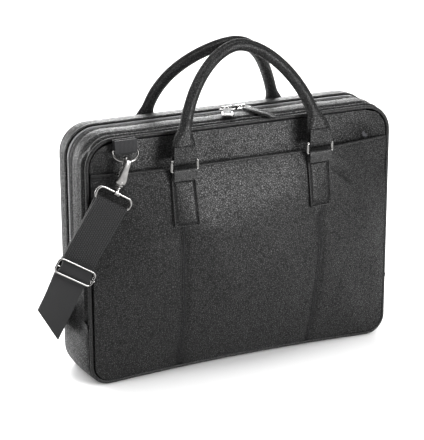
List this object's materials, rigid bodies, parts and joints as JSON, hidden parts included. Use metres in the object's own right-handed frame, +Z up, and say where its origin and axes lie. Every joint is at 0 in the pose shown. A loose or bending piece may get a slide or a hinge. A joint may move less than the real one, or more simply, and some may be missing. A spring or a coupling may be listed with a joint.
{
  "type": "leather briefcase",
  "caption": "Slim zipped briefcase with a front slip pocket, two handles on rectangular rings and a shoulder strap on snap hooks.",
  "frame": {"origin": "centre of the base, on the surface the bag stands on", "axes": "+X to the right seen from the front, +Y towards the back, +Z up; the pocket faces -Y"},
  "size_m": [0.4847, 0.1765, 0.394],
  "materials": {
    "leather": "black pebble-grain leather, satin",
    "piping": "smooth black leather piping",
    "lining": "dark grey woven lining over foam",
    "board": "stiff fibre board",
    "zip_tape": "black woven zip tape",
    "webbing": "black webbing",
    "strap": "black woven strap",
    "metal": "polished dark nickel"
  },
  "bodies": {
    "bag": {"rear_panel": "leather", "rear_piping": "piping", "rear_gusset": "leather", "lower_gusset": "leather", "base_board": "board", "rear_padding": "lining", "laptop_divider": "lining", "divider_strap": "webbing", "zip_tape_rear": "zip_tape", "zip_teeth_rear": "metal", "handle_tab_rear_left": "leather", "handle_tab_rear_right": "leather", "ring_loop_rear_left": "leather", "ring_loop_rear_right": "leather", "d_ring_loop_rear": "webbing", "strap_run": "strap", "strap_back": "strap"},
    "front_shell": {"front_panel": "leather", "front_pocket_panel": "leather", "front_piping": "piping", "front_gusset": "leather", "front_padding": "lining", "organiser_pocket": "lining", "zip_tape_front": "zip_tape", "zip_teeth_front": "metal", "handle_tab_front_left": "leather", "handle_tab_front_right": "leather", "ring_loop_front_left": "leather", "ring_loop_front_right": "leather", "d_ring_loop_front": "webbing"},
    "front_rings": {"handle_ring_front_left": "metal", "handle_ring_front_right": "metal"},
    "front_handle": {"handle_front": "leather", "handle_loop_front_left": "leather", "handle_loop_front_right": "leather"},
    "rear_rings": {"handle_ring_rear_left": "metal", "handle_ring_rear_right": "metal"},
    "rear_handle": {"handle_rear": "leather", "handle_loop_rear_left": "leather", "handle_loop_rear_right": "leather"},
    "left_slider": {"slider_left": "metal"},
    "left_pull": {"pull_link_left": "metal", "pull_left": "leather"},
    "right_slider": {"slider_right": "metal"},
    "right_pull": {"pull_link_right": "metal", "pull_right": "leather"},
    "front_d_ring": {"d_ring_front": "metal", "swivel_eye_front": "metal", "strap_ring_front": "metal", "strap_front_loop": "strap"},
    "front_hook": {"hook_front": "metal"},
    "front_gate": {"gate_front": "metal"},
    "strap_adjuster": {"adjuster": "metal"},
    "rear_d_ring": {"d_ring_rear": "metal", "swivel_eye_rear": "metal", "strap_ring_rear": "metal", "strap_rear_loop": "strap"},
    "rear_hook": {"hook_rear": "metal"},
    "rear_gate": {"gate_rear": "metal"}
  },
  "joints": [
    {"name": "mouth_opening", "type": "hinge", "parent": "bag", "child": "front_shell", "pos_m": [0, -0.04, 0.0025], "axis": [1, 0, 0], "range_deg": [0, 13], "deforming": ["strap_run"]},
    {"name": "front_rings_swing", "type": "hinge", "parent": "front_shell", "child": "front_rings", "pos_m": [0, -0.06717, 0.2578], "axis": [1, 0, 0], "range_deg": [0, 115]},
    {"name": "front_handle_swing", "type": "hinge", "parent": "front_rings", "child": "front_handle", "pos_m": [0, -0.06717, 0.2702], "axis": [1, 0, 0], "range_deg": [0, 60]},
    {"name": "rear_rings_swing", "type": "hinge", "parent": "bag", "child": "rear_rings", "pos_m": [0, 0.05017, 0.2578], "axis": [-1, 0, 0], "range_deg": [0, 115]},
    {"name": "rear_handle_swing", "type": "hinge", "parent": "rear_rings", "child": "rear_handle", "pos_m": [0, 0.05017, 0.2702], "axis": [-1, 0, 0], "range_deg": [0, 60]},
    {"name": "left_slider_travel", "type": "slide", "parent": "front_shell", "child": "left_slider", "axis": [-1, 0, 0], "range_m": [0, 0.15]},
    {"name": "right_slider_travel", "type": "slide", "parent": "front_shell", "child": "right_slider", "axis": [1, 0, 0], "range_m": [0, 0.13]},
    {"name": "left_pull_lift", "type": "hinge", "parent": "left_slider", "child": "left_pull", "pos_m": [0.004, 0.012, 0.3044], "axis": [-1, 0, 0], "range_deg": [0, 100]},
    {"name": "right_pull_lift", "type": "hinge", "parent": "right_slider", "child": "right_pull", "pos_m": [0.022, 0.012, 0.3044], "axis": [-1, 0, 0], "range_deg": [0, 100]},
    {"name": "front_d_ring_swing", "type": "hinge", "parent": "front_shell", "child": "front_d_ring", "pos_m": [-0.1545, -0.0507, 0.286], "axis": [-1, 0, 0], "range_deg": [0, 25], "deforming": ["strap_front_loop"]},
    {"name": "front_hook_swivel", "type": "hinge", "parent": "front_d_ring", "child": "front_hook", "pos_m": [-0.15556, -0.06079, 0.27995], "axis": [-0.342, 0, -0.9397], "range_deg": [-8, 8]},
    {"name": "front_gate", "type": "hinge", "parent": "front_hook", "child": "front_gate", "pos_m": [-0.16442, -0.05699, 0.25562], "axis": [0.9397, 0, -0.342], "range_deg": [0, 18], "stiffness_Nm_per_rad": 0.004, "springref_deg": -5.73},
    {"name": "adjuster_slide", "type": "slide", "parent": "front_shell", "child": "strap_adjuster", "axis": [-0.5299, 0, -0.848], "range_m": [-0.008, 0.008]},
    {"name": "rear_d_ring_swing", "type": "hinge", "parent": "bag", "child": "rear_d_ring", "pos_m": [0.1545, 0.0507, 0.286], "axis": [1, 0, 0], "range_deg": [0, 25], "deforming": ["strap_back"]},
    {"name": "rear_hook_swivel", "type": "hinge", "parent": "rear_d_ring", "child": "rear_hook", "pos_m": [0.15556, 0.06079, 0.27995], "axis": [0.342, 0, -0.9397], "range_deg": [-8, 8]},
    {"name": "rear_gate", "type": "hinge", "parent": "rear_hook", "child": "rear_gate", "pos_m": [0.16442, 0.05699, 0.25562], "axis": [-0.9397, 0, -0.342], "range_deg": [0, 18], "stiffness_Nm_per_rad": 0.004, "springref_deg": -5.73}
  ]
}
